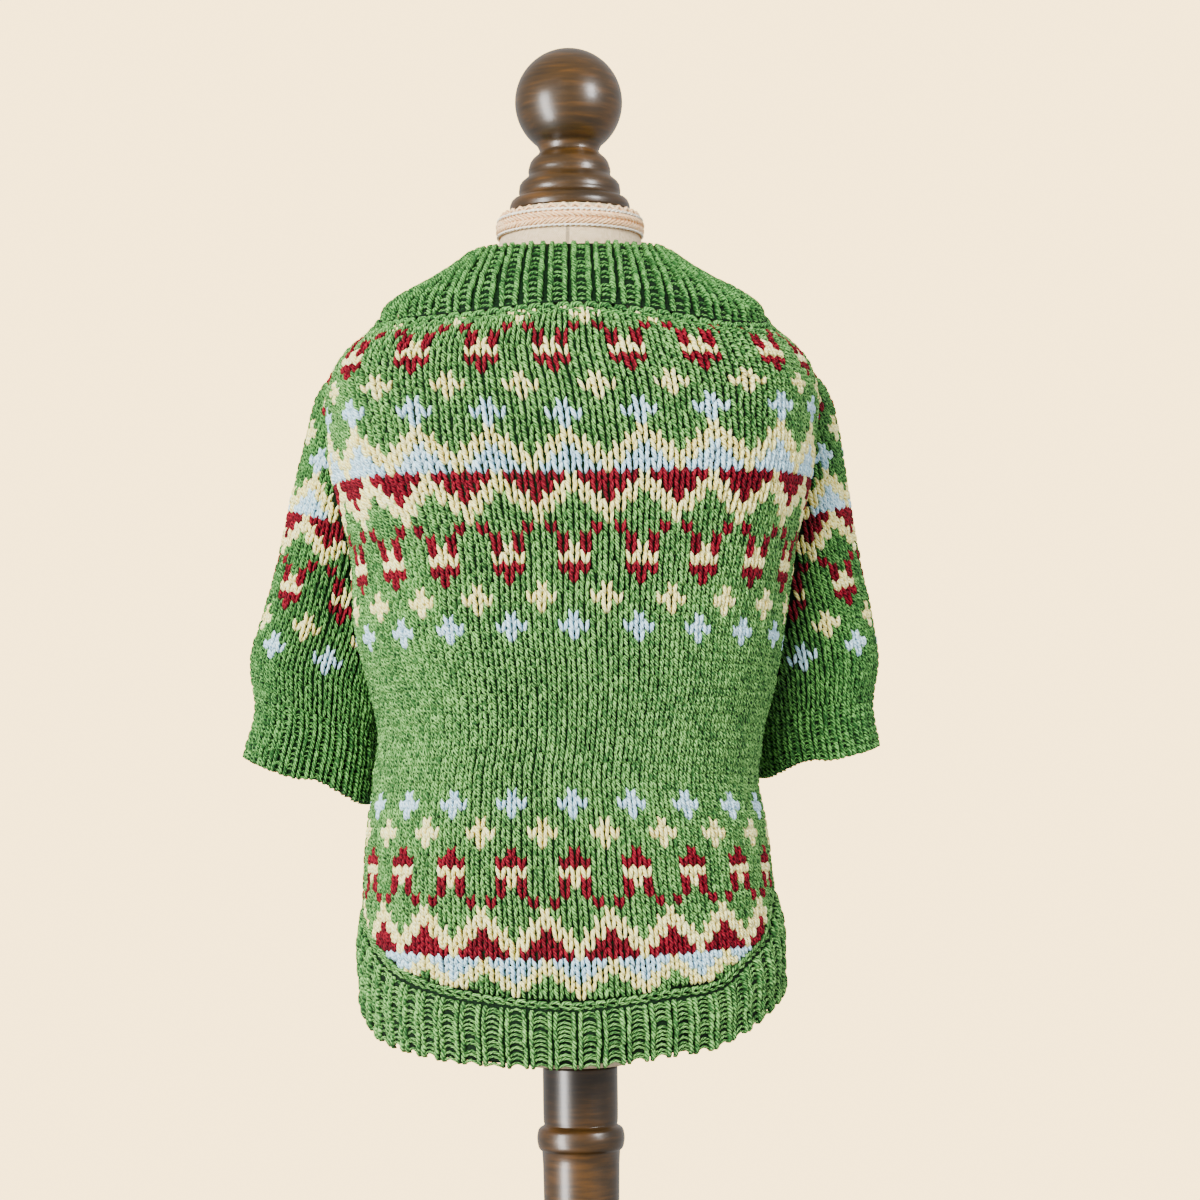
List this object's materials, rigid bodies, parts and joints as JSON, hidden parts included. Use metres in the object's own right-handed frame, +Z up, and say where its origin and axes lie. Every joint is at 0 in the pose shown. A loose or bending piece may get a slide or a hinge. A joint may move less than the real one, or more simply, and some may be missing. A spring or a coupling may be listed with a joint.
{
  "type": "fair isle christmas sweater on a dress form",
  "caption": "Small pet-size fair isle sweater with ribbed collar, cuffs and curved hem, worn by a limbless linen dress form on a turned wooden stand.",
  "frame": {"origin": "middle of the foot's underside", "axes": "+Z up along the pole, and the side with the long curved hem faces -Y"},
  "size_m": [0.1977, 0.176, 0.4472],
  "materials": {
    "knit": "knitted wool",
    "linen": "woven linen",
    "braid": "gimp braid",
    "walnut": "varnished dark walnut"
  },
  "bodies": {
    "root": {"back_panel": "knit", "belly_panel": "knit", "sleeve_left": "knit", "sleeve_right": "knit", "cuff_left": "knit", "cuff_right": "knit", "collar_rib": "knit", "hem_rib": "knit", "form_torso": "linen", "neck_trim": "braid", "finial": "walnut", "pole": "walnut", "base": "walnut"}
  },
  "joints": []
}
